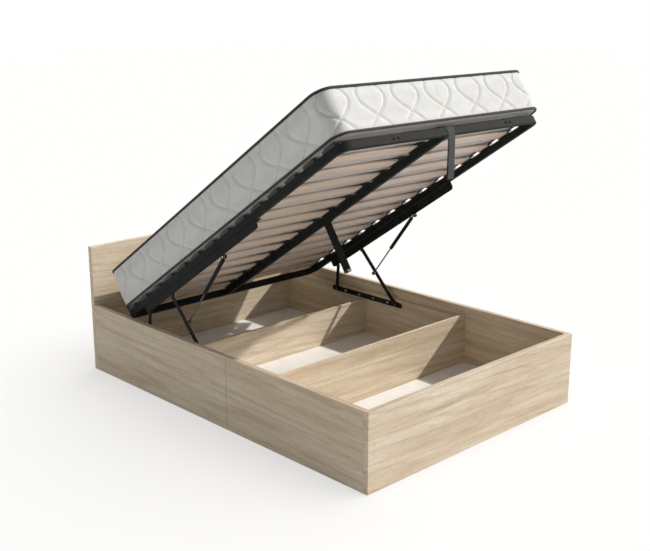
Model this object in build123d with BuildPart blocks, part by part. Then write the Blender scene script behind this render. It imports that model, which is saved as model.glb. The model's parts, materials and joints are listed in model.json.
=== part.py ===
from build123d import *
from math import atan2, cos, degrees, hypot, radians, sin
import os

os.makedirs("parts", exist_ok=True)

# Ottoman bed with a lift-up mattress frame, shown open. Millimetres.
# X runs from the headboard to the footboard, Y from the near side to the far side, Z is up.
# The origin is on the floor under the middle of the bed.

# Box of oak-faced boards
bed_length = 2115.0
bed_width = 1480.0
side_height = 372.0
headboard_height = 700.0
board_thickness = 28.0
edge_break = 1.0
side_seam_x = 120.5

# Inner boards of the box
inner_board = 16.0
liner_top = 310.0
head_partition_x = -359.5
foot_partition_x = 381.5
partition_gap = 1.0
floor_top = 55.0
floor_board = 16.0
floor_gap = 1.0
batten_width = 30.0

# Lid pose: the head end of the mattress's underside, and the slope of the open lid
lid_head_x = -824.5
lid_head_z = 376.0
lid_slope = 33.8
closed_height = 386.2

# Mattress
mattress_length = 2000.0
mattress_width = 1400.0
mattress_height = 218.0
mattress_corner = 80.0
piping_height = 11.0
piping_break = 3.0
seam_draw = 7.0
border_draw = 2.0
crown_rise = 10.0
crown_shoulder = 90.0
crown_first = 0.7
crown_flat = 330.0
underside_relief = 22.0
soft_gap = 0.3

# Steel frame of the lid, measured along the lid and below the mattress
frame_length = 1970.0
frame_width = 1370.0
frame_corner = 70.0
tube_width = 25.0
tube_height = 35.0
tube_wall = 1.5
corner_leg = 110.0

# Bentwood slats in two rows, and their plastic holders
slat_pitch = 139.5
slat_end_gap = 60.0
slat_width = 68.0
slat_thickness = 8.0
slat_bow = 8.5
slat_tab = 36.0
holder_length = 78.0
holder_depth = 34.0
holder_wall = 3.0
holder_play = 0.5
centre_holder_depth = 62.0

# Lift mechanism, one set on each side
base_pivot_height = 277.6
rear_base_x = -583.8
front_base_x = -98.4
pivot_depth = 99.6
rear_lift_along = 238.4
front_lift_along = 480.35
strut_lift_along = 975.0
strut_lift_depth = 102.0
strut_on_arm = 228.0
arm_width = 22.0
arm_thickness = 5.0
pin_radius = 4.0
pin_head_radius = 8.0
pin_head = 3.0
running_fit = 0.05
plate_gap = 2.0
link_gap = 4.0
boss_height = 1.0
open_pivot_gap = 0.5
rail_plate = 3.0
base_rail_height = 30.0
base_rail_end = 42.0
base_rail_corner = 6.0
screw_radius = 3.0
screw_head_radius = 6.5
screw_head = 2.5
slot_count = 4
slot_inset = 70.0
slot_length = 26.0
slot_width = 7.0

# Angle rails that carry the lid on the mechanism
angle_start = 200.0
angle_end = 1300.0
angle_drop = 41.0
angle_flange = 40.0
angle_corner = 18.0
ear_radius = 11.0
angle_bolt_radius = 7.0
angle_bolt_head = 3.5
angle_bolt_shank = 3.0
angle_bolt_first = 300.0
angle_bolt_pitch = 420.0
angle_bolt_count = 3

# Gas struts
cylinder_radius = 10.0
cylinder_length = 250.0
cylinder_wall = 1.5
cylinder_neck = 22.0
rod_radius = 4.0
rod_length = 244.0
guide_length = 8.0
piston_length = 10.0
piston_gap = 0.3
eye_radius = 10.0
eye_thickness = 10.0
neck_radius = 4.5
strut_inset = 13.0

# Centre leg under the lid
leg_along = 1010.0
leg_width = 28.0
leg_foot_height = 12.0
leg_floor_gap = 0.5
leg_plate_length = 70.0

# Pull strap
strap_width = 45.0
strap_thickness = 2.5
strap_length = 200.0
strap_fold = 8.0
strap_lap = 18.0
strap_stitch = 30.0

# Sizes that follow from the ones above
half_length = bed_length / 2
half_width = bed_width / 2
head_face = -half_length + board_thickness
foot_face = half_length - board_thickness
side_face = half_width - board_thickness
liner_face = side_face - inner_board
base_rail_face = liner_face - rail_plate
arm_outer = base_rail_face - link_gap
arm_inner = arm_outer - arm_thickness
angle_outer = arm_inner - plate_gap
angle_inner = angle_outer - rail_plate
strut_centre = angle_inner - strut_inset
frame_half = frame_width / 2
slat_pairs = int((frame_length - 2 * slat_end_gap) / slat_pitch) + 1
slat_first = (frame_length - (slat_pairs - 1) * slat_pitch) / 2
tube_top = -(slat_bow + slat_thickness + holder_wall + soft_gap)
tube_bottom = tube_top - tube_height
slat_seat = tube_top + holder_wall
slope = radians(lid_slope)
along_x = cos(slope)
along_z = sin(slope)


# A point of the open lid, from its distance along the mattress and its height over the underside
def lid_point(along, rise):
    x = lid_head_x + along * along_x - rise * along_z
    z = lid_head_z + along * along_z + rise * along_x
    return (x, z)


# The lid's plane, and the plane square to its length
lid_plane = Plane(
    origin=(lid_head_x, 0, lid_head_z),
    x_dir=(along_x, 0, along_z),
    z_dir=(-along_z, 0, along_x),
)
lid_side = Plane(
    origin=(lid_head_x, 0, lid_head_z),
    x_dir=(along_x, 0, along_z),
    z_dir=(0, -1, 0),
)


def lid_section(along):
    x, z = lid_point(along, 0)
    return Plane(origin=(x, 0, z), x_dir=(0, 1, 0), z_dir=(along_x, 0, along_z))


# Pivot points of the mechanism in the open pose
rear_base = (rear_base_x, base_pivot_height)
front_base = (front_base_x, base_pivot_height)
rear_lift = lid_point(rear_lift_along, -pivot_depth)
front_lift = lid_point(front_lift_along, -pivot_depth)
strut_lift = lid_point(strut_lift_along, -strut_lift_depth)
front_arm_length = hypot(front_lift[0] - front_base[0], front_lift[1] - front_base[1])
front_arm_angle = atan2(front_lift[1] - front_base[1], front_lift[0] - front_base[0])
rear_arm_length = hypot(rear_lift[0] - rear_base[0], rear_lift[1] - rear_base[1])
rear_arm_angle = atan2(rear_lift[1] - rear_base[1], rear_lift[0] - rear_base[0])
strut_foot = (
    front_base[0] + strut_on_arm * cos(front_arm_angle),
    front_base[1] + strut_on_arm * sin(front_arm_angle),
)
strut_length = hypot(strut_foot[0] - strut_lift[0], strut_foot[1] - strut_lift[1])
strut_x = (strut_foot[0] - strut_lift[0]) / strut_length
strut_z = (strut_foot[1] - strut_lift[1]) / strut_length


# Plane square to the strut, at a distance from its upper pivot
def strut_section(distance, y):
    x = strut_lift[0] + distance * strut_x
    z = strut_lift[1] + distance * strut_z
    return Plane(origin=(x, y, z), x_dir=(0, 1, 0), z_dir=(strut_x, 0, strut_z))


# Headboard and footboard, across the ends of the sides
with BuildPart() as headboard:
    with BuildSketch(Plane.XY):
        with Locations((head_face - board_thickness / 2, 0)):
            Rectangle(board_thickness, bed_width)
    extrude(amount=headboard_height)
    chamfer(headboard.edges(), edge_break)
headboard.part.label = "headboard"
export_step(headboard.part, "parts/headboard.step")

with BuildPart() as footboard:
    with BuildSketch(Plane.XY):
        with Locations((foot_face + board_thickness / 2, 0)):
            Rectangle(board_thickness, bed_width)
    extrude(amount=side_height)
    chamfer(footboard.edges(), edge_break)
footboard.part.label = "footboard"
export_step(footboard.part, "parts/footboard.step")

# Sides, each of two boards that meet at a seam
side_y = -half_width + board_thickness / 2

with BuildPart() as near_side_head:
    with BuildSketch(Plane.XY):
        with Locations(((head_face + side_seam_x) / 2, side_y)):
            Rectangle(side_seam_x - head_face, board_thickness)
    extrude(amount=side_height)
    chamfer(near_side_head.edges(), edge_break)
near_side_head.part.label = "near_side_head"
export_step(near_side_head.part, "parts/near_side_head.step")

with BuildPart() as near_side_foot:
    with BuildSketch(Plane.XY):
        with Locations(((foot_face + side_seam_x) / 2, side_y)):
            Rectangle(foot_face - side_seam_x, board_thickness)
    extrude(amount=side_height)
    chamfer(near_side_foot.edges(), edge_break)
near_side_foot.part.label = "near_side_foot"
export_step(near_side_foot.part, "parts/near_side_foot.step")

with BuildPart() as far_side_head:
    mirror(near_side_head.part, about=Plane.XZ)
far_side_head.part.label = "far_side_head"
export_step(far_side_head.part, "parts/far_side_head.step")

with BuildPart() as far_side_foot:
    mirror(near_side_foot.part, about=Plane.XZ)
far_side_foot.part.label = "far_side_foot"
export_step(far_side_foot.part, "parts/far_side_foot.step")

# Liner boards that bridge the seams and carry the mechanism
liner_length = foot_partition_x - head_face

with BuildPart() as near_liner:
    with BuildSketch(Plane.XY):
        with Locations((head_face + liner_length / 2, -side_face + inner_board / 2)):
            Rectangle(liner_length, inner_board)
    extrude(amount=liner_top)
near_liner.part.label = "near_liner"
export_step(near_liner.part, "parts/near_liner.step")

with BuildPart() as far_liner:
    mirror(near_liner.part, about=Plane.XZ)
far_liner.part.label = "far_liner"
export_step(far_liner.part, "parts/far_liner.step")

# Cross partitions: the head one stays under the base rails, the foot one under the closed frame
head_partition_top = base_pivot_height - base_rail_height / 2 - partition_gap
foot_partition_top = closed_height + tube_bottom - partition_gap

with BuildPart() as head_partition:
    with BuildSketch(Plane.XY):
        with Locations((head_partition_x + inner_board / 2, 0)):
            Rectangle(inner_board, 2 * liner_face)
    extrude(amount=head_partition_top)
head_partition.part.label = "head_partition"
export_step(head_partition.part, "parts/head_partition.step")

with BuildPart() as foot_partition:
    with BuildSketch(Plane.XY):
        with Locations((foot_partition_x + inner_board / 2, 0)):
            Rectangle(inner_board, 2 * side_face)
    extrude(amount=foot_partition_top)
foot_partition.part.label = "foot_partition"
export_step(foot_partition.part, "parts/foot_partition.step")

# Three bottom boards, each with a small gap all round
head_bay = (head_face, head_partition_x)
middle_bay = (head_partition_x + inner_board, foot_partition_x)
foot_bay = (foot_partition_x + inner_board, foot_face)
floor_seat = floor_top - floor_board

with BuildPart() as head_bottom:
    with BuildSketch(Plane.XY.offset(floor_seat)):
        with Locations(((head_bay[0] + head_bay[1]) / 2, 0)):
            Rectangle(head_bay[1] - head_bay[0] - 2 * floor_gap, 2 * (liner_face - floor_gap))
    extrude(amount=floor_board)
head_bottom.part.label = "head_bottom"
export_step(head_bottom.part, "parts/head_bottom.step")

with BuildPart() as middle_bottom:
    with BuildSketch(Plane.XY.offset(floor_seat)):
        with Locations(((middle_bay[0] + middle_bay[1]) / 2, 0)):
            Rectangle(middle_bay[1] - middle_bay[0] - 2 * floor_gap, 2 * (liner_face - floor_gap))
    extrude(amount=floor_board)
middle_bottom.part.label = "middle_bottom"
export_step(middle_bottom.part, "parts/middle_bottom.step")

with BuildPart() as foot_bottom:
    with BuildSketch(Plane.XY.offset(floor_seat)):
        with Locations(((foot_bay[0] + foot_bay[1]) / 2, 0)):
            Rectangle(foot_bay[1] - foot_bay[0] - 2 * floor_gap, 2 * (side_face - floor_gap))
    extrude(amount=floor_board)
foot_bottom.part.label = "foot_bottom"
export_step(foot_bottom.part, "parts/foot_bottom.step")

# Battens on the floor under the bottom boards, along both walls and the middle of each bay
with BuildPart() as floor_battens:
    with BuildSketch(Plane.XY):
        for bay, wall in ((head_bay, liner_face), (middle_bay, liner_face), (foot_bay, side_face)):
            for y in (-wall + batten_width / 2, 0, wall - batten_width / 2):
                with Locations(((bay[0] + bay[1]) / 2, y)):
                    Rectangle(bay[1] - bay[0], batten_width)
    extrude(amount=floor_seat)
floor_battens.part.label = "floor_battens"
export_step(floor_battens.part, "parts/floor_battens.step")

# Base rails, flat strips with adjusting slots, screwed to the liners
base_rail_start = rear_base_x - base_rail_end
base_rail_stop = front_base_x + base_rail_end
base_rail_middle = (base_rail_start + base_rail_stop) / 2
slot_pitch = (front_base_x - rear_base_x - 2 * slot_inset) / (slot_count - 1)
slot_places = [
    (rear_base_x + slot_inset + index * slot_pitch, base_pivot_height) for index in range(slot_count)
]

with BuildPart() as near_base_rail:
    with BuildSketch(Plane.XZ.offset(base_rail_face)) as strip:
        with Locations((base_rail_middle, base_pivot_height)):
            Rectangle(base_rail_stop - base_rail_start, base_rail_height)
        chamfer(strip.vertices(), base_rail_corner)
        with Locations(*slot_places):
            SlotOverall(slot_length, slot_width, mode=Mode.SUBTRACT)
        with Locations(rear_base, front_base):
            Circle(pin_radius, mode=Mode.SUBTRACT)
    extrude(amount=rail_plate)
near_base_rail.part.label = "near_base_rail"
export_step(near_base_rail.part, "parts/near_base_rail.step")

with BuildPart() as far_base_rail:
    mirror(near_base_rail.part, about=Plane.XZ)
far_base_rail.part.label = "far_base_rail"
export_step(far_base_rail.part, "parts/far_base_rail.step")

# Hex screws through the slots, up to the liners
with BuildPart() as near_screws:
    with BuildSketch(Plane.XZ.offset(base_rail_face - screw_head)):
        with Locations(*slot_places):
            RegularPolygon(screw_head_radius, 6)
    extrude(amount=screw_head)
    with BuildSketch(Plane.XZ.offset(base_rail_face)):
        with Locations(*slot_places):
            RegularPolygon(screw_radius, 8)
    extrude(amount=rail_plate)

with BuildPart() as base_rail_screws:
    add(near_screws.part)
    mirror(near_screws.part, about=Plane.XZ)
base_rail_screws.part.label = "base_rail_screws"
export_step(base_rail_screws.part, "parts/base_rail_screws.step")

# Arms, flat bars with round ends and a bore at each pivot
with BuildPart() as near_front_arm:
    with BuildSketch(Plane.XZ.offset(arm_inner)):
        with Locations(((front_base[0] + front_lift[0]) / 2, (front_base[1] + front_lift[1]) / 2)):
            SlotCenterToCenter(front_arm_length, arm_width, rotation=degrees(front_arm_angle))
        with Locations(front_base, front_lift):
            Circle(pin_radius + running_fit, mode=Mode.SUBTRACT)
    extrude(amount=arm_thickness)
    with BuildSketch(Plane.XZ.offset(arm_inner)):
        with Locations(strut_foot):
            Circle(pin_head_radius)
    extrude(amount=-boss_height)
near_front_arm.part.label = "near_front_arm"
export_step(near_front_arm.part, "parts/near_front_arm.step")

with BuildPart() as far_front_arm:
    mirror(near_front_arm.part, about=Plane.XZ)
far_front_arm.part.label = "far_front_arm"
export_step(far_front_arm.part, "parts/far_front_arm.step")

with BuildPart() as near_rear_arm:
    with BuildSketch(Plane.XZ.offset(arm_inner)):
        with Locations(((rear_base[0] + rear_lift[0]) / 2, (rear_base[1] + rear_lift[1]) / 2)):
            SlotCenterToCenter(rear_arm_length, arm_width, rotation=degrees(rear_arm_angle))
        with Locations(rear_base):
            Circle(pin_radius + running_fit, mode=Mode.SUBTRACT)
    extrude(amount=arm_thickness)
    with BuildSketch(Plane.XZ.offset(arm_inner)):
        with Locations(rear_lift):
            Circle(pin_head_radius)
    extrude(amount=-(plate_gap - open_pivot_gap))
near_rear_arm.part.label = "near_rear_arm"
export_step(near_rear_arm.part, "parts/near_rear_arm.step")

with BuildPart() as far_rear_arm:
    mirror(near_rear_arm.part, about=Plane.XZ)
far_rear_arm.part.label = "far_rear_arm"
export_step(far_rear_arm.part, "parts/far_rear_arm.step")

# Fixed pins of the base rails: a collar behind the arm, the shank and a head over the arm
with BuildPart() as near_base_pins:
    with BuildSketch(Plane.XZ.offset(arm_inner - soft_gap - pin_head)):
        with Locations(rear_base, front_base):
            Circle(pin_head_radius)
    extrude(amount=pin_head)
    with BuildSketch(Plane.XZ.offset(arm_inner - soft_gap)):
        with Locations(rear_base, front_base):
            Circle(pin_radius)
    extrude(amount=liner_face - arm_inner + soft_gap)
    with BuildSketch(Plane.XZ.offset(arm_outer + soft_gap)):
        with Locations(rear_base, front_base):
            RegularPolygon(pin_head_radius, 6)
    extrude(amount=link_gap - soft_gap)

with BuildPart() as base_pivot_pins:
    add(near_base_pins.part)
    mirror(near_base_pins.part, about=Plane.XZ)
base_pivot_pins.part.label = "base_pivot_pins"
export_step(base_pivot_pins.part, "parts/base_pivot_pins.step")

# Angle rails under the lid: a hanging flange with an ear at each pivot, and a flange under the tube
angle_middle = (angle_start + angle_end) / 2
angle_edge = tube_bottom - angle_drop
angle_bolt_places = [
    (angle_bolt_first + index * angle_bolt_pitch, -(angle_outer - angle_flange / 2))
    for index in range(angle_bolt_count)
]

with BuildPart() as near_angle_rail:
    with BuildSketch(lid_side.offset(angle_inner)) as hanging_flange:
        with Locations((angle_middle, tube_bottom - angle_drop / 2)):
            Rectangle(angle_end - angle_start, angle_drop)
        fillet(hanging_flange.vertices().sort_by(Axis.Y)[:2], angle_corner)
        with Locations(
            (rear_lift_along, -pivot_depth),
            (front_lift_along, -pivot_depth),
            (strut_lift_along, -strut_lift_depth),
        ):
            Circle(ear_radius)
        with Locations(
            (rear_lift_along, (angle_edge - pivot_depth) / 2),
            (front_lift_along, (angle_edge - pivot_depth) / 2),
            (strut_lift_along, (angle_edge - strut_lift_depth) / 2),
        ):
            Rectangle(2 * ear_radius, 2 * ear_radius)
        with Locations(
            (rear_lift_along, -pivot_depth),
            (front_lift_along, -pivot_depth),
            (strut_lift_along, -strut_lift_depth),
        ):
            Circle(pin_radius, mode=Mode.SUBTRACT)
    extrude(amount=rail_plate)
    with BuildSketch(lid_plane.offset(tube_bottom - rail_plate)):
        with Locations((angle_middle, -(angle_outer - angle_flange / 2))):
            Rectangle(angle_end - angle_start, angle_flange)
        with Locations(*angle_bolt_places):
            RegularPolygon(angle_bolt_shank, 8, mode=Mode.SUBTRACT)
    extrude(amount=rail_plate)
near_angle_rail.part.label = "near_angle_rail"
export_step(near_angle_rail.part, "parts/near_angle_rail.step")

with BuildPart() as far_angle_rail:
    mirror(near_angle_rail.part, about=Plane.XZ)
far_angle_rail.part.label = "far_angle_rail"
export_step(far_angle_rail.part, "parts/far_angle_rail.step")

# Hex bolts that hold the angle rails to the frame tubes
with BuildPart() as near_angle_bolts:
    with BuildSketch(lid_plane.offset(tube_bottom - rail_plate - angle_bolt_head)):
        with Locations(*angle_bolt_places):
            RegularPolygon(angle_bolt_radius, 6)
    extrude(amount=angle_bolt_head)
    with BuildSketch(lid_plane.offset(tube_bottom - rail_plate)):
        with Locations(*angle_bolt_places):
            RegularPolygon(angle_bolt_shank, 8)
    extrude(amount=rail_plate)

with BuildPart() as angle_bolts:
    add(near_angle_bolts.part)
    mirror(near_angle_bolts.part, about=Plane.XZ)
angle_bolts.part.label = "angle_bolts"
export_step(angle_bolts.part, "parts/angle_bolts.step")

# Pins in the ears of the angle rails. The front ones carry the arms, and the rear ones stop
# flush with the flange, a little short of the boss on the rear arms.
with BuildPart() as near_upper_pins:
    with BuildSketch(Plane.XZ.offset(angle_inner - pin_head)):
        with Locations(rear_lift, front_lift):
            Circle(pin_head_radius)
    extrude(amount=pin_head)
    with BuildSketch(Plane.XZ.offset(angle_inner)):
        with Locations(rear_lift, front_lift):
            Circle(pin_radius)
    extrude(amount=rail_plate)
    with BuildSketch(Plane.XZ.offset(angle_outer)):
        with Locations(front_lift):
            RegularPolygon(pin_head_radius, 6)
    extrude(amount=plate_gap - soft_gap)
    with BuildSketch(Plane.XZ.offset(angle_outer)):
        with Locations(front_lift):
            Circle(pin_radius)
    extrude(amount=plate_gap + arm_thickness - soft_gap)

with BuildPart() as upper_pivot_pins:
    add(near_upper_pins.part)
    mirror(near_upper_pins.part, about=Plane.XZ)
upper_pivot_pins.part.label = "upper_pivot_pins"
export_step(upper_pivot_pins.part, "parts/upper_pivot_pins.step")

# Bolts that carry the upper eyes of the gas struts
eye_outer = strut_centre + eye_thickness / 2
eye_inner = strut_centre - eye_thickness / 2

with BuildPart() as near_strut_bolt:
    with BuildSketch(Plane.XZ.offset(eye_inner - soft_gap - pin_head)):
        with Locations(strut_lift):
            RegularPolygon(pin_head_radius, 6)
    extrude(amount=pin_head)
    with BuildSketch(Plane.XZ.offset(eye_inner - soft_gap)):
        with Locations(strut_lift):
            Circle(pin_radius)
    extrude(amount=angle_outer - eye_inner + soft_gap)
    with BuildSketch(Plane.XZ.offset(eye_outer + soft_gap)):
        with Locations(strut_lift):
            RegularPolygon(pin_head_radius, 6)
    extrude(amount=angle_inner - eye_outer - soft_gap)

with BuildPart() as strut_bolts:
    add(near_strut_bolt.part)
    mirror(near_strut_bolt.part, about=Plane.XZ)
strut_bolts.part.label = "strut_bolts"
export_step(strut_bolts.part, "parts/strut_bolts.step")

# Gas cylinders: an eye on the strut bolt, a neck and a bored barrel with a guide at its mouth
barrel_end = cylinder_neck + cylinder_length

with BuildPart() as near_gas_cylinder:
    with BuildSketch(Plane.XZ.offset(eye_inner)):
        with Locations(strut_lift):
            Circle(eye_radius)
    extrude(amount=eye_thickness)
    with BuildSketch(strut_section(0, -strut_centre)):
        Circle(neck_radius)
    extrude(amount=cylinder_neck)
    with BuildSketch(strut_section(cylinder_neck, -strut_centre)):
        Circle(cylinder_radius)
    extrude(amount=cylinder_length)
    with BuildSketch(strut_section(cylinder_neck + cylinder_wall, -strut_centre)):
        Circle(cylinder_radius - cylinder_wall)
    extrude(amount=cylinder_length - cylinder_wall - guide_length, mode=Mode.SUBTRACT)
    with BuildSketch(strut_section(barrel_end - guide_length, -strut_centre)):
        Circle(rod_radius + running_fit)
    extrude(amount=guide_length, mode=Mode.SUBTRACT)
    with BuildSketch(Plane.XZ.offset(eye_inner)):
        with Locations(strut_lift):
            Circle(pin_radius + running_fit)
    extrude(amount=eye_thickness, mode=Mode.SUBTRACT)
near_gas_cylinder.part.label = "near_gas_cylinder"
export_step(near_gas_cylinder.part, "parts/near_gas_cylinder.step")

with BuildPart() as far_gas_cylinder:
    mirror(near_gas_cylinder.part, about=Plane.XZ)
far_gas_cylinder.part.label = "far_gas_cylinder"
export_step(far_gas_cylinder.part, "parts/far_gas_cylinder.step")

# Gas rods: a piston in the barrel, the rod, and a lower eye whose pin points at the front arm
rod_start = strut_length - rod_length

with BuildPart() as near_gas_rod:
    with BuildSketch(strut_section(rod_start, -strut_centre)):
        Circle(cylinder_radius - cylinder_wall - piston_gap)
    extrude(amount=piston_length)
    with BuildSketch(strut_section(rod_start, -strut_centre)):
        Circle(rod_radius)
    extrude(amount=rod_length)
    with BuildSketch(Plane.XZ.offset(eye_inner)):
        with Locations(strut_foot):
            Circle(eye_radius)
    extrude(amount=eye_thickness)
    with BuildSketch(Plane.XZ.offset(eye_outer)):
        with Locations(strut_foot):
            Circle(pin_radius)
    extrude(amount=arm_inner - boss_height - open_pivot_gap - eye_outer)
near_gas_rod.part.label = "near_gas_rod"
export_step(near_gas_rod.part, "parts/near_gas_rod.step")

with BuildPart() as far_gas_rod:
    mirror(near_gas_rod.part, about=Plane.XZ)
far_gas_rod.part.label = "far_gas_rod"
export_step(far_gas_rod.part, "parts/far_gas_rod.step")

# Welded ring of flat steel tube with bent corners, from which the rails are cut
with BuildPart() as frame_ring:
    with BuildSketch(lid_plane.offset(tube_bottom)):
        with Locations((frame_length / 2, 0)):
            RectangleRounded(frame_length, frame_width, frame_corner)
            RectangleRounded(
                frame_length - 2 * tube_width,
                frame_width - 2 * tube_width,
                frame_corner - tube_width,
                mode=Mode.SUBTRACT,
            )
    extrude(amount=tube_height)
    with BuildSketch(lid_plane.offset(tube_bottom + tube_wall)):
        with Locations((frame_length / 2, 0)):
            RectangleRounded(
                frame_length - 2 * tube_wall,
                frame_width - 2 * tube_wall,
                frame_corner - tube_wall,
            )
            RectangleRounded(
                frame_length - 2 * (tube_width - tube_wall),
                frame_width - 2 * (tube_width - tube_wall),
                frame_corner - tube_width + tube_wall,
                mode=Mode.SUBTRACT,
            )
    extrude(amount=tube_height - 2 * tube_wall, mode=Mode.SUBTRACT)

with BuildPart() as head_rail:
    add(frame_ring.part)
    with BuildSketch(lid_plane.offset(tube_bottom)):
        with Locations((corner_leg / 2, 0)):
            Rectangle(corner_leg, frame_width)
    extrude(amount=tube_height, mode=Mode.INTERSECT)
head_rail.part.label = "head_rail"
export_step(head_rail.part, "parts/head_rail.step")

with BuildPart() as foot_rail:
    add(frame_ring.part)
    with BuildSketch(lid_plane.offset(tube_bottom)):
        with Locations((frame_length - corner_leg / 2, 0)):
            Rectangle(corner_leg, frame_width)
    extrude(amount=tube_height, mode=Mode.INTERSECT)
foot_rail.part.label = "foot_rail"
export_step(foot_rail.part, "parts/foot_rail.step")

with BuildPart() as near_rail:
    add(frame_ring.part)
    with BuildSketch(lid_plane.offset(tube_bottom)):
        with Locations((frame_length / 2, -frame_half + tube_width / 2)):
            Rectangle(frame_length - 2 * corner_leg, tube_width)
    extrude(amount=tube_height, mode=Mode.INTERSECT)
near_rail.part.label = "near_rail"
export_step(near_rail.part, "parts/near_rail.step")

with BuildPart() as far_rail:
    mirror(near_rail.part, about=Plane.XZ)
far_rail.part.label = "far_rail"
export_step(far_rail.part, "parts/far_rail.step")

# Centre beam, a tube between the head and foot rails
with BuildPart() as centre_beam:
    with BuildSketch(lid_section(tube_width)):
        with Locations((0, tube_bottom + tube_height / 2)):
            Rectangle(tube_width, tube_height)
            Rectangle(tube_width - 2 * tube_wall, tube_height - 2 * tube_wall, mode=Mode.SUBTRACT)
    extrude(amount=frame_length - 2 * tube_width)
centre_beam.part.label = "centre_beam"
export_step(centre_beam.part, "parts/centre_beam.step")

# Slats, each a bowed strip with flat ends
slat_outer = frame_half - 2 * holder_wall
slat_inner = 2 * holder_wall
slat_middle = (slat_outer + slat_inner) / 2

with BuildPart() as near_slats:
    for index in range(slat_pairs):
        with BuildSketch(lid_section(slat_first + index * slat_pitch - slat_width / 2)):
            with BuildLine():
                Line((-slat_outer, slat_seat), (-slat_outer + slat_tab, slat_seat))
                ThreePointArc(
                    (-slat_outer + slat_tab, slat_seat),
                    (-slat_middle, slat_seat + slat_bow),
                    (-slat_inner - slat_tab, slat_seat),
                )
                Line((-slat_inner - slat_tab, slat_seat), (-slat_inner, slat_seat))
                Line((-slat_inner, slat_seat), (-slat_inner, slat_seat + slat_thickness))
                Line(
                    (-slat_inner, slat_seat + slat_thickness),
                    (-slat_inner - slat_tab, slat_seat + slat_thickness),
                )
                ThreePointArc(
                    (-slat_inner - slat_tab, slat_seat + slat_thickness),
                    (-slat_middle, slat_seat + slat_thickness + slat_bow),
                    (-slat_outer + slat_tab, slat_seat + slat_thickness),
                )
                Line(
                    (-slat_outer + slat_tab, slat_seat + slat_thickness),
                    (-slat_outer, slat_seat + slat_thickness),
                )
                Line((-slat_outer, slat_seat + slat_thickness), (-slat_outer, slat_seat))
            make_face()
    extrude(amount=slat_width)
near_slats.part.label = "near_slats"
export_step(near_slats.part, "parts/near_slats.step")

with BuildPart() as far_slats:
    mirror(near_slats.part, about=Plane.XZ)
far_slats.part.label = "far_slats"
export_step(far_slats.part, "parts/far_slats.step")

# Plastic holders on the tubes, each with a pocket for the end of its slat
slat_places = [slat_first + index * slat_pitch for index in range(slat_pairs)]
holder_height = slat_thickness + 2 * holder_wall
holder_y = -frame_half + holder_wall + holder_depth / 2

with BuildPart() as near_holders:
    with BuildSketch(lid_plane.offset(tube_top)):
        with Locations(*[(along, holder_y) for along in slat_places]):
            Rectangle(holder_length, holder_depth)
    extrude(amount=holder_height)
    with BuildSketch(lid_plane.offset(slat_seat)):
        with Locations(*[(along, holder_y + holder_wall) for along in slat_places]):
            Rectangle(slat_width + 2 * holder_play, holder_depth)
    extrude(amount=slat_thickness, mode=Mode.SUBTRACT)
near_holders.part.label = "near_holders"
export_step(near_holders.part, "parts/near_holders.step")

with BuildPart() as far_holders:
    mirror(near_holders.part, about=Plane.XZ)
far_holders.part.label = "far_holders"
export_step(far_holders.part, "parts/far_holders.step")

# Double holders on the centre beam, with a web between their two pockets
pocket_depth = centre_holder_depth / 2 - slat_inner
pocket_y = slat_inner + pocket_depth / 2

with BuildPart() as centre_holders:
    with BuildSketch(lid_plane.offset(tube_top)):
        with Locations(*[(along, 0) for along in slat_places]):
            Rectangle(holder_length, centre_holder_depth)
    extrude(amount=holder_height)
    with BuildSketch(lid_plane.offset(slat_seat)):
        with Locations(*[(along, side * pocket_y) for along in slat_places for side in (-1, 1)]):
            Rectangle(slat_width + 2 * holder_play, pocket_depth)
    extrude(amount=slat_thickness, mode=Mode.SUBTRACT)
centre_holders.part.label = "centre_holders"
export_step(centre_holders.part, "parts/centre_holders.step")

# Centre leg: a plate under the beam, a square tube and a plastic foot that nears the bottom board
leg_end = floor_top + leg_floor_gap - closed_height
leg_plate_face = tube_bottom - rail_plate

with BuildPart() as centre_leg:
    with BuildSketch(lid_plane.offset(leg_plate_face)):
        with Locations((leg_along, 0)):
            Rectangle(leg_plate_length, leg_width)
    extrude(amount=rail_plate)
    with BuildSketch(lid_plane.offset(leg_end + leg_foot_height)):
        with Locations((leg_along, 0)):
            Rectangle(leg_width, leg_width)
            Rectangle(leg_width - 2 * tube_wall, leg_width - 2 * tube_wall, mode=Mode.SUBTRACT)
    extrude(amount=leg_plate_face - leg_end - leg_foot_height)
centre_leg.part.label = "centre_leg"
export_step(centre_leg.part, "parts/centre_leg.step")

with BuildPart() as leg_foot:
    with BuildSketch(lid_plane.offset(leg_end)):
        with Locations((leg_along, 0)):
            Rectangle(leg_width, leg_width)
    extrude(amount=leg_foot_height)
    with BuildSketch(lid_plane.offset(leg_end + leg_foot_height)):
        with Locations((leg_along, 0)):
            Rectangle(leg_width - 2 * tube_wall, leg_width - 2 * tube_wall)
    extrude(amount=leg_foot_height)
leg_foot.part.label = "leg_foot"
export_step(leg_foot.part, "parts/leg_foot.step")

# Mattress: flat underside, border drawn in at the piped seams, crowned top
seam_low = piping_height / 2 + soft_gap
seam_high = mattress_height - piping_height / 2

seam_middle = (seam_low + seam_high) / 2
seam_quarter = (seam_high - seam_low) / 4
border_quarter = border_draw + (seam_draw - border_draw) / 4

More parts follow.
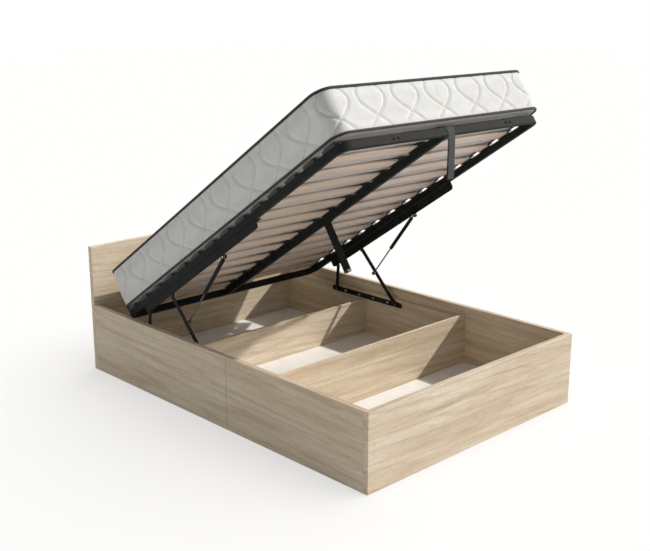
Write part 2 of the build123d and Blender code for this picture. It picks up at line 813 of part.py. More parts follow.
with BuildPart() as mattress:
    for rise, inset in (
        (0, underside_relief),
        (seam_low, seam_draw),
        (seam_middle - seam_quarter, border_quarter),
        (seam_middle, border_draw),
        (seam_middle + seam_quarter, border_quarter),
        (seam_high, seam_draw),
        (seam_high + crown_rise * crown_first, crown_shoulder),
        (seam_high + crown_rise, crown_flat),
    ):
        with BuildSketch(lid_plane.offset(rise)):
            with Locations((mattress_length / 2, 0)):
                RectangleRounded(
                    mattress_length - 2 * inset,
                    mattress_width - 2 * inset,
                    mattress_corner,
                )
    loft(ruled=True)
    for seam in (seam_low, seam_high):
        for rise, inset in (
            (seam - piping_height / 2, piping_break),
            (seam - piping_height / 4, 0),
            (seam + piping_height / 4, 0),
            (seam + piping_height / 2, piping_break),
        ):
            with BuildSketch(lid_plane.offset(rise)):
                with Locations((mattress_length / 2, 0)):
                    RectangleRounded(
                        mattress_length - 2 * inset,
                        mattress_width - 2 * inset,
                        mattress_corner - inset,
                    )
        loft(ruled=True)
mattress.part.label = "mattress"
export_step(mattress.part, "parts/mattress.step")

# Pull strap of folded webbing: lapped over the foot rail, hanging straight down, and looped back
strap_corner = lid_point(frame_length, tube_bottom)
strap_face = lid_point(frame_length + strap_thickness, tube_bottom)
strap_ply = strap_face[0] - strap_corner[0]
strap_low = strap_corner[1] - strap_length
fold_back = strap_face[0] - strap_fold
fold_middle = strap_face[0] - strap_fold / 2
fold_reach = strap_fold / 2

with BuildPart() as pull_strap:
    with BuildSketch(Plane.XZ.offset(strap_width / 2)):
        with BuildLine():
            Polyline(
                (fold_back, strap_low),
                (strap_corner[0], strap_corner[1] - strap_stitch / 4),
                strap_corner,
                lid_point(frame_length, tube_top),
                lid_point(frame_length - strap_lap, tube_top),
                lid_point(frame_length - strap_lap, tube_top + strap_thickness),
                lid_point(frame_length + strap_thickness, tube_top + strap_thickness),
                strap_face,
                (strap_face[0], strap_low),
            )
            RadiusArc((strap_face[0], strap_low), (fold_middle, strap_low - fold_reach), fold_reach)
            RadiusArc((fold_middle, strap_low - fold_reach), (fold_back, strap_low), fold_reach)
        make_face()
        with BuildLine():
            Polyline(
                (fold_back + strap_ply, strap_low),
                (strap_corner[0], strap_corner[1] - strap_stitch),
                (strap_corner[0], strap_low),
            )
            RadiusArc(
                (strap_corner[0], strap_low),
                (fold_middle, strap_low - fold_reach + strap_ply),
                fold_reach - strap_ply,
            )
            RadiusArc(
                (fold_middle, strap_low - fold_reach + strap_ply),
                (fold_back + strap_ply, strap_low),
                fold_reach - strap_ply,
            )
        make_face(mode=Mode.SUBTRACT)
    extrude(amount=-strap_width)
pull_strap.part.label = "pull_strap"
export_step(pull_strap.part, "parts/pull_strap.step")
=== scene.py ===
import json
import math

import bpy
from mathutils import Matrix, Vector, noise


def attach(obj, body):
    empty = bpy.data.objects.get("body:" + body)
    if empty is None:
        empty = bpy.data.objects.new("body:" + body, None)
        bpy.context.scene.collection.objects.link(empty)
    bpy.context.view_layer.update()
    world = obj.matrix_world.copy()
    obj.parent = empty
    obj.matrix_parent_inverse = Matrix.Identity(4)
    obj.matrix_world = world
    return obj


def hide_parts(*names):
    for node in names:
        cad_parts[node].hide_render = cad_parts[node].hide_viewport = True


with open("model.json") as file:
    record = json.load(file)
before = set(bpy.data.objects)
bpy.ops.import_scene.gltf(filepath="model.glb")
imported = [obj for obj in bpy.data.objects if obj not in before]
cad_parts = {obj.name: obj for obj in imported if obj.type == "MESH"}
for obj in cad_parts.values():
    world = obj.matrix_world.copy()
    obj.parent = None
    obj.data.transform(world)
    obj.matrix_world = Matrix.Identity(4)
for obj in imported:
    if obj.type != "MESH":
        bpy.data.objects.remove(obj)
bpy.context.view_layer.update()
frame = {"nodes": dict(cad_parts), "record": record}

# Lid: where the mattress's underside starts, and the slope of the open lid. Metres.
LID_HEAD = Vector((-0.8245, 0.0, 0.376))
LID_SLOPE = math.radians(33.8)

# Mattress
MATTRESS_LENGTH = 2.0
MATTRESS_WIDTH = 1.4
MATTRESS_HEIGHT = 0.218
MATTRESS_CORNER = 0.08
OUTLINE_POINTS = 960
BORDER_ROWS = 36
TOP_RINGS = 58
UNDERSIDE_RINGS = 6
UNDERSIDE_RELIEF = 0.022
SEAM_DRAW = 0.007
BORDER_DRAW = 0.002
CROWN_RISE = 0.009
CROWN_REACH = 0.33
PANEL_CORNER = 0.008
PANEL_INSET = 0.69
PIPING_HALF_HEIGHT = 0.0065
PIPING_HALF_DEPTH = 0.0055
SOFT_GAP = 0.0003
SEAM_LOW = PIPING_HALF_HEIGHT + SOFT_GAP
SEAM_HIGH = MATTRESS_HEIGHT - PIPING_HALF_HEIGHT
PIPING_SIDES = 10
PADDING_UNEVENNESS = 0.0015
PADDING_LUMPS = 9.0

# Quilting: pairs of stitch lines that swell and meet, repeated along the border
QUILT_PAIRS = 31
QUILT_SWELL = 0.08
QUILT_PERIOD = 0.366
QUILT_WIDEST = 0.061
CHANNEL_DEPTH = 0.0062
CHANNEL_WIDTH = 0.0062
TOP_CHANNEL_WIDTH = 0.012
TOP_CHANNEL_FADE = 0.05
THREAD_RADIUS = 0.0009
THREAD_STEPS = 60
THREAD_MARGIN = 0.03
THREAD_SINK = 0.6

# Steel frame's foot rail and the strap on it, below the mattress
TUBE_TOP = -0.0198
TUBE_BOTTOM = -0.0548
FRAME_LENGTH = 1.97
STRAP_WIDTH = 0.045
STRAP_THICKNESS = 0.0025
STRAP_LENGTH = 0.2
STRAP_FOLD = 0.008
STRAP_LAP = 0.018

# Hexagon bolts in the foot rail's outer face
RAIL_BOLTS = (-0.37, -0.34, 0.41, 0.44)
RAIL_BOLT_RADIUS = 0.0065
RAIL_BOLT_HEAD = 0.004

# Joint between the two boards of each side
SIDE_SEAM_X = 0.1205
SIDE_FACE_Y = 0.74
SIDE_HEIGHT = 0.372
SEAM_HALF = 0.0011
SEAM_DEPTH = 0.0009

# Camera and light
CAMERA_PLACE = Vector((3.8034, -3.617, 2.0504))
CAMERA_AZIMUTH = math.radians(136.2288)
CAMERA_DROP = math.radians(15.3851)
CAMERA_LENS = 57.83
SUN_FROM = Vector((0.5, 1.0, 0.8))
SUN_STRENGTH = 3.85
SUN_ANGLE = math.radians(1.5)
FLOOR_SUN_FROM = Vector((0.4, 0.5, 1.6))
FLOOR_SUN_STRENGTH = 3.6
FLOOR_SUN_ANGLE = math.radians(75)
SUN_COLOR = (1.0, 0.975, 0.94)
SKY_COLOR = (0.95, 0.975, 1.0, 1.0)
SKY_STRENGTH = 0.25
FLOOR_HALF = 30.0
FLOOR_GREY = (0.62, 0.62, 0.62, 1.0)
FLOOR_WHITE_STRENGTH = 1.37
FLOOR_WHITE_SHARE = 0.35
WHITE = (1.0, 1.0, 1.0, 1.0)

# Sockets of a colour mix node, whose names are shared by its other types
MIX_FIRST = 6
MIX_SECOND = 7
MIX_RESULT = 2


# Places on the lid

def lid_matrix():
    return Matrix.Translation(LID_HEAD) @ Matrix.Rotation(-LID_SLOPE, 4, "Y")


LID = lid_matrix()


def on_lid(along, across, rise):
    return LID @ Vector((along, across, rise))


# Mesh helpers

def mesh_object(name, points, faces, smooth=True):
    mesh = bpy.data.meshes.new(name)
    mesh.from_pydata([tuple(point) for point in points], [], faces)
    mesh.update()
    for polygon in mesh.polygons:
        polygon.use_smooth = smooth
    made = bpy.data.objects.new(name, mesh)
    bpy.context.scene.collection.objects.link(made)
    return made


def ring_faces(count, first, second):
    """Quads between two closed rings of count points."""
    return [
        (first + i, first + (i + 1) % count, second + (i + 1) % count, second + i)
        for i in range(count)
    ]


def across_faces(count, first, upward):
    """Faces that close a ring which is symmetric about its first point."""
    faces = []
    for i in range(count // 2):
        face = [i, i + 1, (count - i - 1) % count, (count - i) % count]
        face = [first + corner for corner in dict.fromkeys(face)]
        faces.append(tuple(face if upward else reversed(face)))
    return faces


def finish_piece(piece, material, body):
    piece.data.materials.append(material)
    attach(piece, body)
    return piece


# Node helpers

def new_material(name, color, roughness, metallic=0.0):
    made = bpy.data.materials.new(name)
    made.use_nodes = True
    shader = made.node_tree.nodes["Principled BSDF"]
    shader.inputs["Base Color"].default_value = (*color, 1)
    shader.inputs["Roughness"].default_value = roughness
    shader.inputs["Metallic"].default_value = metallic
    return made, made.node_tree, shader


def add_node(tree, kind, settings=None, values=None, links=None):
    made = tree.nodes.new(kind)
    for key, value in (settings or {}).items():
        setattr(made, key, value)
    for key, value in (values or {}).items():
        made.inputs[key].default_value = value
    for key, socket in (links or {}).items():
        tree.links.new(socket, made.inputs[key])
    return made


def coordinates(tree, scale=(1, 1, 1), turn=0.0):
    place = add_node(tree, "ShaderNodeTexCoord")
    mapping = add_node(
        tree,
        "ShaderNodeMapping",
        values={"Scale": scale, "Rotation": (0, turn, 0)},
        links={"Vector": place.outputs["Object"]},
    )
    return mapping.outputs["Vector"]


def noise_value(tree, vector, detail=3.0, distortion=0.0, roughness=0.5):
    made = add_node(
        tree,
        "ShaderNodeTexNoise",
        values={"Scale": 1.0, "Detail": detail, "Distortion": distortion, "Roughness": roughness},
        links={"Vector": vector},
    )
    return made.outputs["Fac"]


def ramp(tree, value, stops):
    made = add_node(tree, "ShaderNodeValToRGB", links={"Fac": value})
    elements = made.color_ramp.elements
    while len(elements) < len(stops):
        elements.new(0.5)
    for element, (place, color) in zip(elements, stops):
        element.position = place
        element.color = (*color, 1)
    return made.outputs["Color"]


def multiply(tree, first, second, factor=1.0):
    made = add_node(
        tree,
        "ShaderNodeMix",
        {"data_type": "RGBA", "blend_type": "MULTIPLY"},
        {"Factor": factor},
    )
    tree.links.new(first, made.inputs[MIX_FIRST])
    tree.links.new(second, made.inputs[MIX_SECOND])
    return made.outputs[MIX_RESULT]


def maths(tree, operation, first, second):
    made = add_node(tree, "ShaderNodeMath", {"operation": operation})
    for index, value in enumerate((first, second)):
        if isinstance(value, (int, float)):
            made.inputs[index].default_value = value
        else:
            tree.links.new(value, made.inputs[index])
    return made.outputs["Value"]


def add_bump(tree, shader, height, distance, strength=1.0):
    made = add_node(
        tree,
        "ShaderNodeBump",
        values={"Distance": distance, "Strength": strength},
        links={"Height": height},
    )
    tree.links.new(made.outputs["Normal"], shader.inputs["Normal"])


def vary_roughness(tree, shader, value, low, high):
    made = add_node(
        tree,
        "ShaderNodeMapRange",
        values={"To Min": low, "To Max": high},
        links={"Value": value},
    )
    tree.links.new(made.outputs["Result"], shader.inputs["Roughness"])


def mottle(tree, shader, size, detail, low, high):
    """Clouds the base colour between two tones, and returns the clouds' value."""
    cloud = noise_value(tree, coordinates(tree, (size, size, size)), detail)
    color = ramp(tree, cloud, [(0.3, low), (0.7, high)])
    tree.links.new(color, shader.inputs["Base Color"])
    return cloud


def along_axis(axis, across, along):
    scale = [across, across, across]
    scale["XYZ".index(axis)] = along
    return tuple(scale)


# Materials

def oak(name, axis):
    """Light oak laminate with its grain along one axis."""
    made, tree, shader = new_material(name, (0.6, 0.49, 0.35), 0.5)
    broad = noise_value(tree, coordinates(tree, along_axis(axis, 15, 1.1)), 5, 0.8, 0.6)
    tone = ramp(
        tree,
        broad,
        [(0.3, (0.64, 0.51, 0.36)), (0.5, (0.74, 0.62, 0.465)), (0.68, (0.82, 0.73, 0.59))],
    )
    bands = add_node(
        tree,
        "ShaderNodeTexWave",
        {"wave_type": "BANDS", "bands_direction": "DIAGONAL"},
        {"Scale": 1.0, "Distortion": 9.0, "Detail": 4.0, "Detail Scale": 1.3},
        {"Vector": coordinates(tree, along_axis(axis, 11, 0.7))},
    )
    rings = ramp(
        tree,
        bands.outputs["Fac"],
        [(0.0, (0.8, 0.76, 0.7)), (0.2, (0.94, 0.93, 0.91)), (1.0, (1, 1, 1))],
    )
    streaks = noise_value(tree, coordinates(tree, along_axis(axis, 110, 5)), 5, 0.5, 0.7)
    fine = ramp(tree, streaks, [(0.32, (0.8, 0.76, 0.71)), (0.58, (1, 1, 1))])
    pores = noise_value(tree, coordinates(tree, along_axis(axis, 420, 22)), 3)
    dark = ramp(tree, pores, [(0.32, (0.66, 0.6, 0.53)), (0.44, (1, 1, 1))])
    color = multiply(tree, tone, rings, 0.65)
    color = multiply(tree, color, fine, 0.7)
    color = multiply(tree, color, dark, 0.55)
    tree.links.new(color, shader.inputs["Base Color"])
    vary_roughness(tree, shader, streaks, 0.42, 0.6)
    add_bump(tree, shader, pores, 0.0003, 0.5)
    return made


def white_board(name):
    made, tree, shader = new_material(name, (0.84, 0.83, 0.81), 0.45)
    cloud = mottle(tree, shader, 14, 4, (0.8, 0.79, 0.77), (0.87, 0.865, 0.85))
    orange_peel = noise_value(tree, coordinates(tree, (420, 420, 420)), 2)
    vary_roughness(tree, shader, cloud, 0.4, 0.52)
    add_bump(tree, shader, orange_peel, 0.0002, 0.4)
    return made


def beech(name, axis, low, high):
    """Lacquered wood of slats and battens, its grain along one axis."""
    made, tree, shader = new_material(name, high, 0.4)
    broad = noise_value(tree, coordinates(tree, along_axis(axis, 26, 1.6)), 4, 0.4)
    tone = ramp(tree, broad, [(0.3, low), (0.7, high)])
    flecks = noise_value(tree, coordinates(tree, along_axis(axis, 420, 16)), 3)
    fine = ramp(tree, flecks, [(0.34, (0.75, 0.7, 0.65)), (0.5, (1, 1, 1))])
    color = multiply(tree, tone, fine, 0.6)
    tree.links.new(color, shader.inputs["Base Color"])
    vary_roughness(tree, shader, flecks, 0.34, 0.5)
    add_bump(tree, shader, flecks, 0.0002, 0.4)
    return made


def powder_coat(name):
    made, tree, shader = new_material(name, (0.03, 0.032, 0.03), 0.42)
    cloud = mottle(tree, shader, 18, 4, (0.013, 0.0145, 0.0135), (0.026, 0.029, 0.027))
    grain = noise_value(tree, coordinates(tree, (1300, 1300, 1300)), 2)
    shader.inputs["Specular IOR Level"].default_value = 0.07
    vary_roughness(tree, shader, cloud, 0.58, 0.7)
    add_bump(tree, shader, grain, 0.00015, 0.5)
    return made


def plated(name, low, high):
    made, tree, shader = new_material(name, high, 0.32, 1.0)
    cloud = mottle(tree, shader, 60, 4, low, high)
    vary_roughness(tree, shader, cloud, 0.22, 0.42)
    return made


# Dark brown for the strip in the boards' joint: painted shade of the joint's groove.
def groove_shade_line(name):
    made, tree, shader = new_material(name, (0.12, 0.09, 0.06), 0.8)
    cloud = mottle(tree, shader, 80, 3, (0.09, 0.065, 0.045), (0.2, 0.15, 0.1))
    vary_roughness(tree, shader, cloud, 0.7, 0.9)
    return made


def moulded(name):
    made, tree, shader = new_material(name, (0.022, 0.022, 0.023), 0.5)
    cloud = mottle(tree, shader, 30, 3, (0.017, 0.017, 0.018), (0.032, 0.032, 0.033))
    spark = noise_value(tree, coordinates(tree, (2000, 2000, 2000)), 1)
    vary_roughness(tree, shader, cloud, 0.44, 0.58)
    add_bump(tree, shader, spark, 0.0001, 0.5)
    return made


def woven(name, low, high, thread, turn, roughness=0.85):
    """Cloth of two crossing sets of threads; thread is their number in a metre."""
    made, tree, shader = new_material(name, high, roughness)
    vector = coordinates(tree, (1, 1, 1), turn)
    sets = []
    for direction in ("X", "Y", "Z"):
        wave = add_node(
            tree,
            "ShaderNodeTexWave",
            {"wave_type": "BANDS", "bands_direction": direction},
            {"Scale": thread, "Distortion": 0.6, "Detail": 1.0},
            {"Vector": vector},
        )
        sets.append(wave.outputs["Fac"])
    height = maths(tree, "ADD", maths(tree, "ADD", sets[0], sets[1]), sets[2])
    height = maths(tree, "MULTIPLY", height, 1 / 3)
    cloud = noise_value(tree, coordinates(tree, (22, 22, 22)), 4)
    tone = ramp(tree, cloud, [(0.3, low), (0.7, high)])
    # Base colour darker where the weave's height is low: painted shade in the hollows between
    # threads.
    shade = ramp(tree, height, [(0.1, (0.86, 0.86, 0.86)), (0.7, (1, 1, 1))])
    tree.links.new(multiply(tree, tone, shade, 1.0), shader.inputs["Base Color"])
    add_bump(tree, shader, height, 0.0006, 0.6)
    shader.inputs["Sheen Weight"].default_value = 0.15
    return made


OAK_X = oak("oak_lengthwise", "X")
OAK_Y = oak("oak_crosswise", "Y")
FINISH = {
    "white_board": white_board("white_laminate"),
    "pine_batten": beech("pine", "Y", (0.5, 0.38, 0.24), (0.66, 0.54, 0.37)),
    "black_steel": powder_coat("powder_coat"),
    "bare_steel": plated("zinc_plate", (0.5, 0.5, 0.48), (0.72, 0.72, 0.7)),
    "bentwood": beech("bentwood_beech", "Y", (0.64, 0.5, 0.4), (0.8, 0.67, 0.57)),
    "black_plastic": moulded("moulded_plastic"),
}
DARK_STEEL = plated("burnished_steel", (0.05, 0.05, 0.05), (0.11, 0.11, 0.108))
OWN_FINISH = {
    "near_gas_rod": DARK_STEEL,
    "far_gas_rod": DARK_STEEL,
    "base_pivot_pins": DARK_STEEL,
    "upper_pivot_pins": DARK_STEEL,
    "angle_bolts": DARK_STEEL,
}
# The joint strips' dark brown is painted shade in the groove between the boards.
GROOVE_SHADE = groove_shade_line("joint_groove_shade")
COVER = woven("quilted_knit", (0.74, 0.74, 0.715), (0.8, 0.8, 0.78), 70, LID_SLOPE)
UNDERSIDE = woven("underside_felt", (0.56, 0.52, 0.5), (0.64, 0.6, 0.58), 200, LID_SLOPE)
# The thread's grey, darker than the cover, is partly its own colour and partly painted shade of the
# channels it lies in.
THREAD_AND_CHANNEL_SHADE = woven("quilt_thread_channel_shade", (0.52, 0.51, 0.5), (0.6, 0.59, 0.58), 400, LID_SLOPE)
PIPING = woven("piping_tape", (0.016, 0.0155, 0.015), (0.03, 0.029, 0.028), 160, LID_SLOPE)
WEBBING = woven("strap_webbing", (0.024, 0.026, 0.024), (0.042, 0.045, 0.042), 130, 0.0)

CROSSWISE = ("headboard", "footboard", "head_partition", "foot_partition")


def finish_frame():
    """Gives each carried-over piece the material of its slot."""
    for part in frame["record"]["subparts"]:
        name = part["node"]
        slot = part["material_slot"]
        if slot == "oak_board":
            material = OAK_Y if name in CROSSWISE else OAK_X
        else:
            material = OWN_FINISH.get(name, FINISH.get(slot))
        if material is None:
            continue
        materials = frame["nodes"][name].data.materials
        materials.clear()
        materials.append(material)


# Mattress

def outline_length():
    straight = 2 * (MATTRESS_LENGTH + MATTRESS_WIDTH - 4 * MATTRESS_CORNER)
    return straight + 2 * math.pi * MATTRESS_CORNER


def outline_at(distance):
    """A place round the mattress as (middle of the nearest corner's arc, outward direction).
    The distance runs from the middle of the foot end, counter-clockwise from above."""
    half_x = MATTRESS_LENGTH / 2 - MATTRESS_CORNER
    half_y = MATTRESS_WIDTH / 2 - MATTRESS_CORNER
    arc = math.pi / 2 * MATTRESS_CORNER
    corners = [(half_x, half_y), (-half_x, half_y), (-half_x, -half_y), (half_x, -half_y)]
    left = (distance + half_y) % outline_length()
    for side in range(4):
        start = Vector(corners[side - 1])
        end = Vector(corners[side])
        length = (end - start).length
        turn = side * math.pi / 2
        if left <= length:
            return start.lerp(end, left / length), turn
        left -= length
        if left <= arc:
            return end, turn + left / MATTRESS_CORNER
        left -= arc
    return Vector(corners[3]), 2 * math.pi


def mattress_outline(count):
    return [outline_at(outline_length() * index / count) for index in range(count)]


def outline_point(centre, turn, inset):
    reach = MATTRESS_CORNER - inset
    return Vector((centre.x + reach * math.cos(turn), centre.y + reach * math.sin(turn)))


def quilt_pitch():
    return outline_length() / QUILT_PAIRS


def stitch_swell(depth):
    """How far a pair's two stitch lines lie from their middle, at a depth below the border's top."""
    return QUILT_SWELL * math.cos(2 * math.pi * (depth - QUILT_WIDEST) / QUILT_PERIOD)


def stitch_distance(place, depth):
    """Distance to the nearest stitch line, from a place along the border and a depth."""
    phase = 2 * math.pi * (depth - QUILT_WIDEST) / QUILT_PERIOD
    swell = stitch_swell(depth)
    slant = QUILT_SWELL * 2 * math.pi / QUILT_PERIOD * math.sin(phase)
    pitch = quilt_pitch()
    from_pair = (place + pitch / 2) % pitch - pitch / 2
    nearest = min(abs(from_pair - swell), abs(from_pair + swell))
    return nearest / math.hypot(1, slant)


def channel(place, depth, width):
    """How far the quilting is drawn in, from 0 on the swells to 1 on the stitch lines."""
    return math.exp(-((stitch_distance(place, depth) / width) ** 2))


def panel_point(centre, turn, inset):
    """A point of the top panel on the ring that lies this far inside the outline."""
    reach = max(MATTRESS_CORNER - inset, PANEL_CORNER)
    shift = inset + reach - MATTRESS_CORNER
    half_x = MATTRESS_LENGTH / 2 - MATTRESS_CORNER
    half_y = MATTRESS_WIDTH / 2 - MATTRESS_CORNER
    return Vector((
        centre.x * (1 - shift / half_x) + reach * math.cos(turn),
        centre.y * (1 - shift / half_y) + reach * math.sin(turn),
    ))


def softness(point, size):
    """A small unevenness of the padding."""
    return noise.noise(Vector(point) * size)


def border_rise(share):
    return SEAM_LOW + (SEAM_HIGH - SEAM_LOW) * share


def border_inset(along, share, sewn):
    """How far the border is drawn in, from one seam at share 0 to the other at 1."""
    edge = (2 * share - 1) ** 2
    lumps = softness((along % outline_length(), border_rise(share), 0.0), PADDING_LUMPS)
    draw = BORDER_DRAW + (SEAM_DRAW - BORDER_DRAW) * edge
    draw += CHANNEL_DEPTH * sewn * (1 - edge ** 3)
    return draw - PADDING_UNEVENNESS * lumps * (1 - edge)


def mattress_piece():
    outline = mattress_outline(OUTLINE_POINTS)
    count = OUTLINE_POINTS
    step = outline_length() / count
    points = []
    for ring in range(UNDERSIDE_RINGS):
        share = (ring + 0.5) / UNDERSIDE_RINGS
        for centre, turn in outline:
            flat = outline_point(centre, turn, UNDERSIDE_RELIEF) * share
            points.append((flat.x, flat.y, SOFT_GAP))
    for row in range(BORDER_ROWS + 1):
        share = row / BORDER_ROWS
        rise = border_rise(share)
        for index, (centre, turn) in enumerate(outline):
            along = index * step
            sewn = channel(along, MATTRESS_HEIGHT - rise, CHANNEL_WIDTH)
            flat = outline_point(centre, turn, border_inset(along, share, sewn))
            points.append((flat.x, flat.y, rise))
    for ring in range(1, TOP_RINGS):
        inset = SEAM_DRAW + (PANEL_INSET - SEAM_DRAW) * ring / (TOP_RINGS - 1)
        crown = CROWN_RISE * math.sin(math.pi / 2 * min(1, inset / CROWN_REACH))
        for centre, turn in outline:
            flat = panel_point(centre, turn, inset)
            sewn = channel(flat.y, flat.x + MATTRESS_LENGTH / 2, TOP_CHANNEL_WIDTH)
            rise = SEAM_HIGH + crown - CHANNEL_DEPTH * sewn * min(1, inset / TOP_CHANNEL_FADE)
            points.append((flat.x, flat.y, rise))
    rings = UNDERSIDE_RINGS + BORDER_ROWS + TOP_RINGS
    faces = []
    for ring in range(rings - 1):
        faces += ring_faces(count, ring * count, (ring + 1) * count)
    faces += across_faces(count, 0, False)
    faces += across_faces(count, (rings - 1) * count, True)
    placed = [on_lid(x + MATTRESS_LENGTH / 2, y, rise) for x, y, rise in points]
    piece = mesh_object("mattress_quilted", placed, faces)
    finish_piece(piece, COVER, "lift_frame")
    piece.data.materials.append(UNDERSIDE)
    for polygon in piece.data.polygons:
        if max(points[corner][2] for corner in polygon.vertices) <= SEAM_LOW:
            polygon.material_index = 1
    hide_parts("mattress")
    return piece


def stitching_piece():
    """The threads that lie in the border's channels; their darker grey is partly painted shade of
    the channels.
    """
    points = []
    faces = []
    for line in range(2 * QUILT_PAIRS):
        sign = 1 if line % 2 else -1
        for index in range(THREAD_STEPS + 1):
            share = THREAD_MARGIN + (1 - 2 * THREAD_MARGIN) * index / THREAD_STEPS
            rise = border_rise(share)
            swell = sign * stitch_swell(MATTRESS_HEIGHT - rise)
            along = line // 2 * quilt_pitch() + swell
            draw = border_inset(along, share, 1.0)
            if index:
                last = len(points)
                faces += ring_faces(4, last - 4, last)
            for out, aside in ((1, 0), (0, 1), (-1, 0), (0, -1)):
                centre, turn = outline_at(along + aside * THREAD_RADIUS)
                flat = outline_point(centre, turn, draw - (out + THREAD_SINK) * THREAD_RADIUS)
                points.append(on_lid(flat.x + MATTRESS_LENGTH / 2, flat.y, rise))
    piece = mesh_object("mattress_stitching", points, faces)
    return finish_piece(piece, THREAD_AND_CHANNEL_SHADE, "lift_frame")


def piping_piece(name, rise):
    """A tape-covered cord all round the mattress at one seam."""
    outline = mattress_outline(OUTLINE_POINTS // 2)
    points = []
    for side in range(PIPING_SIDES):
        turn_round = 2 * math.pi * side / PIPING_SIDES
        inset = PIPING_HALF_DEPTH - PIPING_HALF_DEPTH * math.cos(turn_round)
        up = rise + PIPING_HALF_HEIGHT * math.sin(turn_round)
        for centre, turn in outline:
            flat = outline_point(centre, turn, inset)
            points.append(on_lid(flat.x + MATTRESS_LENGTH / 2, flat.y, up))
    count = len(outline)
    faces = []
    for side in range(PIPING_SIDES):
        faces += ring_faces(count, side * count, (side + 1) % PIPING_SIDES * count)
    piece = mesh_object(name, points, faces)
    return finish_piece(piece, PIPING, "lift_frame")


# Pull strap

def smoothed(points, rounds):
    """Cuts a path's corners again and again, with its ends kept."""
    for _ in range(rounds):
        cut = [points[0]]
        for first, second in zip(points, points[1:]):
            cut.append(first.lerp(second, 0.25))
            cut.append(first.lerp(second, 0.75))
        cut.append(points[-1])
        points = cut
    return points


def webbing_piece(name, path, width, thickness, material):
    """Flat webbing of some width along a path in the plane Y = 0."""
    profile = [
        (-0.5, -0.3), (-0.48, -0.5), (0.48, -0.5), (0.5, -0.3),
        (0.5, 0.3), (0.48, 0.5), (-0.48, 0.5), (-0.5, 0.3),
    ]
    points = []
    for index, place in enumerate(path):
        before = path[max(index - 1, 0)]
        after = path[min(index + 1, len(path) - 1)]
        along = (after - before).normalized()
        out = Vector((along.z, 0, -along.x))
        for across, through in profile:
            points.append(place + out * through * thickness + Vector((0, across * width, 0)))
    count = len(profile)
    faces = []
    for index in range(len(path) - 1):
        faces += ring_faces(count, index * count, (index + 1) * count)
    faces.append(tuple(reversed(range(count))))
    faces.append(tuple(range(len(points) - count, len(points))))
    piece = mesh_object(name, points, faces, smooth=False)
    return finish_piece(piece, material, "lift_frame")


def strap_piece():
    half = STRAP_THICKNESS / 2
    corner = on_lid(FRAME_LENGTH + half, 0, TUBE_BOTTOM)
    low = corner.z - STRAP_LENGTH
    back = corner.x - STRAP_FOLD + STRAP_THICKNESS
    path = [
        on_lid(FRAME_LENGTH - STRAP_LAP, 0, TUBE_TOP + half),
        on_lid(FRAME_LENGTH - STRAP_LAP / 2, 0, TUBE_TOP + half),
        on_lid(FRAME_LENGTH + half, 0, TUBE_TOP + half),
        on_lid(FRAME_LENGTH + half, 0, (TUBE_TOP + TUBE_BOTTOM) / 2),
        corner,
        Vector((corner.x, 0, corner.z - STRAP_LENGTH / 3)),
        Vector((corner.x + half, 0, corner.z - STRAP_LENGTH * 2 / 3)),
        Vector((corner.x, 0, low)),
        Vector((corner.x - half, 0, low - STRAP_FOLD / 2)),
        Vector((back + half, 0, low - STRAP_FOLD / 2)),
        Vector((back, 0, low)),
        Vector((back + half, 0, corner.z - STRAP_LENGTH / 2)),
        Vector((corner.x - 1.2 * STRAP_THICKNESS, 0, corner.z - 0.02)),
    ]
    piece = webbing_piece(
        "pull_strap_webbing", smoothed(path, 3), STRAP_WIDTH, STRAP_THICKNESS, WEBBING
    )
    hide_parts("pull_strap")
    return piece


# Foot rail's bolts

def rail_bolts_piece():
    points = []
    faces = []
    middle = (TUBE_TOP + TUBE_BOTTOM) / 2
    for across in RAIL_BOLTS:
        first = len(points)
        for radius, out in ((1.0, 0.0), (1.0, 0.75), (0.86, 1.0)):
            for corner in range(6):
                turn = math.pi / 3 * corner
                points.append(on_lid(
                    FRAME_LENGTH + out * RAIL_BOLT_HEAD,
                    across + radius * RAIL_BOLT_RADIUS * math.cos(turn),
                    middle + radius * RAIL_BOLT_RADIUS * math.sin(turn),
                ))
        faces += ring_faces(6, first, first + 6) + ring_faces(6, first + 6, first + 12)
        faces.append(tuple(first + corner for corner in reversed(range(6))))
        faces.append(tuple(first + 12 + corner for corner in range(6)))
    piece = mesh_object("foot_rail_bolts", points, faces, smooth=False)
    return finish_piece(piece, FINISH["black_steel"], "lift_frame")


# Box

def seam_shade_piece(name, side):
    """A dark strip in the groove between the two boards of one side, painted shade of the groove;
    side is -1 or 1.
    """
    face = side * SIDE_FACE_Y
    profile = [
        (-SEAM_HALF, 0.0),
        (0.0, 0.6 * SEAM_DEPTH),
        (SEAM_HALF, 0.0),
        (0.0, SEAM_DEPTH),
    ]
    points = [
        (SIDE_SEAM_X + across, face - side * inward, rise)
        for rise in (SEAM_DEPTH, SIDE_HEIGHT - SEAM_DEPTH)
        for across, inward in profile
    ]
    faces = ring_faces(4, 0, 4) + [(3, 2, 1, 0), (4, 5, 6, 7)]
    piece = mesh_object(name, points, faces, smooth=False)
    return finish_piece(piece, GROOVE_SHADE, "box")


# Stage, camera and light

def camera_switch(tree):
    """1 for camera, glossy and transmission rays, and 0 for diffuse light on the object."""
    path = add_node(tree, "ShaderNodeLightPath")
    seen = maths(tree, "MAXIMUM", path.outputs["Is Camera Ray"], path.outputs["Is Glossy Ray"])
    return maths(tree, "MAXIMUM", seen, path.outputs["Is Transmission Ray"])


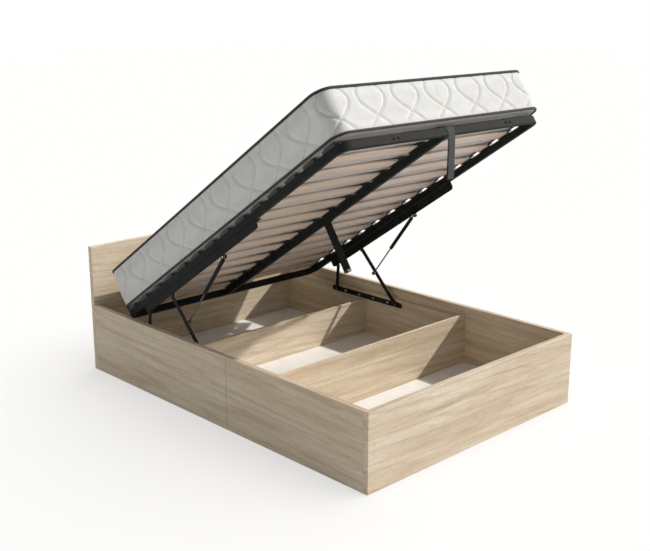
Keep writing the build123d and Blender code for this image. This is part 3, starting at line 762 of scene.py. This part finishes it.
def make_floor():
    corners = ((-1, -1), (1, -1), (1, 1), (-1, 1))
    points = [(x * FLOOR_HALF, y * FLOOR_HALF, 0) for x, y in corners]
    floor = mesh_object("studio_floor", points, [(0, 1, 2, 3)], smooth=False)
    made = bpy.data.materials.new("studio_floor")
    made.use_nodes = True
    tree = made.node_tree
    tree.nodes.remove(tree.nodes["Principled BSDF"])
    plain = add_node(tree, "ShaderNodeBsdfDiffuse", values={"Color": FLOOR_GREY})
    white = add_node(
        tree, "ShaderNodeEmission", values={"Color": WHITE, "Strength": FLOOR_WHITE_STRENGTH}
    )
    share = maths(tree, "MULTIPLY", camera_switch(tree), FLOOR_WHITE_SHARE)
    mixed = add_node(tree, "ShaderNodeMixShader", links={"Fac": share})
    tree.links.new(plain.outputs["BSDF"], mixed.inputs[1])
    tree.links.new(white.outputs["Emission"], mixed.inputs[2])
    tree.links.new(mixed.outputs["Shader"], tree.nodes["Material Output"].inputs["Surface"])
    floor.data.materials.append(made)
    return floor


def make_world():
    world = bpy.data.worlds.new("studio")
    bpy.context.scene.world = world
    world.use_nodes = True
    tree = world.node_tree
    light = tree.nodes["Background"]
    light.inputs["Color"].default_value = SKY_COLOR
    light.inputs["Strength"].default_value = SKY_STRENGTH
    white = add_node(tree, "ShaderNodeBackground", values={"Color": WHITE, "Strength": 1.0})
    mixed = add_node(tree, "ShaderNodeMixShader", links={"Fac": camera_switch(tree)})
    tree.links.new(light.outputs["Background"], mixed.inputs[1])
    tree.links.new(white.outputs["Background"], mixed.inputs[2])
    tree.links.new(mixed.outputs["Shader"], tree.nodes["World Output"].inputs["Surface"])


def make_sun(name, sun_from, strength, angle, floor, floor_state):
    """A sun that lights all but the floor (EXCLUDE), or only the floor (INCLUDE)."""
    data = bpy.data.lights.new(name, "SUN")
    data.energy = strength
    data.angle = angle
    data.color = SUN_COLOR
    sun = bpy.data.objects.new(name, data)
    sun.rotation_mode = "QUATERNION"
    sun.rotation_quaternion = (-sun_from).to_track_quat("-Z", "Y")
    bpy.context.scene.collection.objects.link(sun)
    receivers = bpy.data.collections.new(name + "_receivers")
    receivers.objects.link(floor)
    receivers.collection_objects[0].light_linking.link_state = floor_state
    sun.light_linking.receiver_collection = receivers


def make_camera():
    data = bpy.data.cameras.new("camera")
    data.lens = CAMERA_LENS
    data.sensor_fit = "HORIZONTAL"
    data.sensor_width = 36.0
    camera = bpy.data.objects.new("camera", data)
    forward = Vector((
        math.cos(CAMERA_AZIMUTH) * math.cos(CAMERA_DROP),
        math.sin(CAMERA_AZIMUTH) * math.cos(CAMERA_DROP),
        -math.sin(CAMERA_DROP),
    ))
    camera.location = CAMERA_PLACE
    camera.rotation_mode = "QUATERNION"
    camera.rotation_quaternion = forward.to_track_quat("-Z", "Y")
    bpy.context.scene.collection.objects.link(camera)
    bpy.context.scene.camera = camera


bpy.context.scene.view_settings.view_transform = "Standard"
finish_frame()
mattress_piece()
piping_piece("mattress_piping_low", SEAM_LOW)
piping_piece("mattress_piping_high", SEAM_HIGH)
stitching_piece()
strap_piece()
rail_bolts_piece()
# Dark strips of painted shade in the grooves of the sides' joints.
seam_shade_piece("near_side_joint_shade", -1)
seam_shade_piece("far_side_joint_shade", 1)
floor = make_floor()
make_world()
make_sun("sun", SUN_FROM, SUN_STRENGTH, SUN_ANGLE, floor, "EXCLUDE")
make_sun("floor_sun", FLOOR_SUN_FROM, FLOOR_SUN_STRENGTH, FLOOR_SUN_ANGLE, floor, "INCLUDE")
make_camera()
